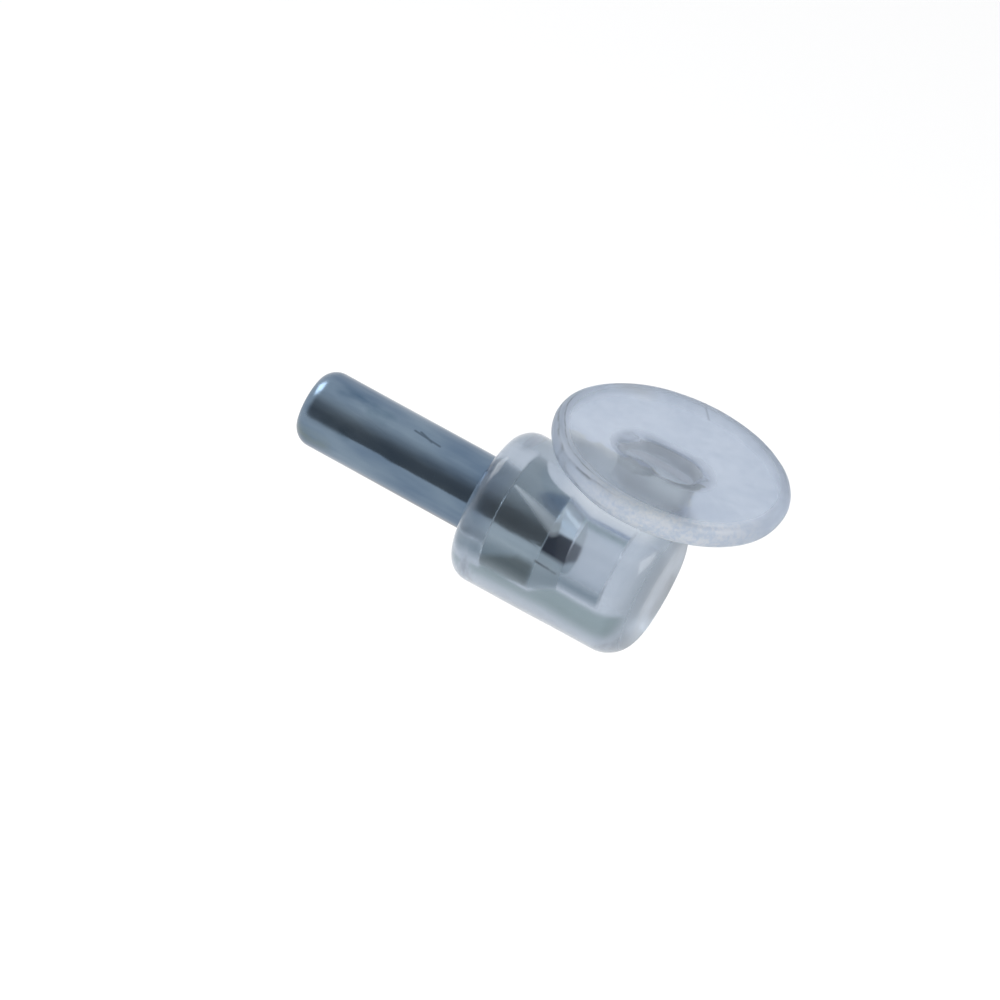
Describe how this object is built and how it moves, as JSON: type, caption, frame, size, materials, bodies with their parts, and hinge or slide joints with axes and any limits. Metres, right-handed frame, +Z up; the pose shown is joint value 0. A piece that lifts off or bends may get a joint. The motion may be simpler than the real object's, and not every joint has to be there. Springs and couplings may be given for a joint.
{
  "type": "shelf support pin",
  "caption": "Shelf support: a round steel pin plugs into a cabinet side, and a clear soft plastic sleeve with a raised round pad carries and grips a glass shelf.",
  "frame": {"origin": "centre of the holder's wall face, on the pin's axis", "axes": "-X along the pin into the cabinet side, +Z up towards the pad that carries the shelf"},
  "size_m": [0.0298, 0.015, 0.0141],
  "materials": {
    "bluish_steel": "bright plated steel with a cool blue cast and fine drawing lines",
    "clear_plastic": "clear soft plastic with a pale blue tint and a glossy moulded skin"
  },
  "bodies": {
    "root": {"steel_pin": "bluish_steel", "clear_holder": "clear_plastic"}
  },
  "joints": []
}
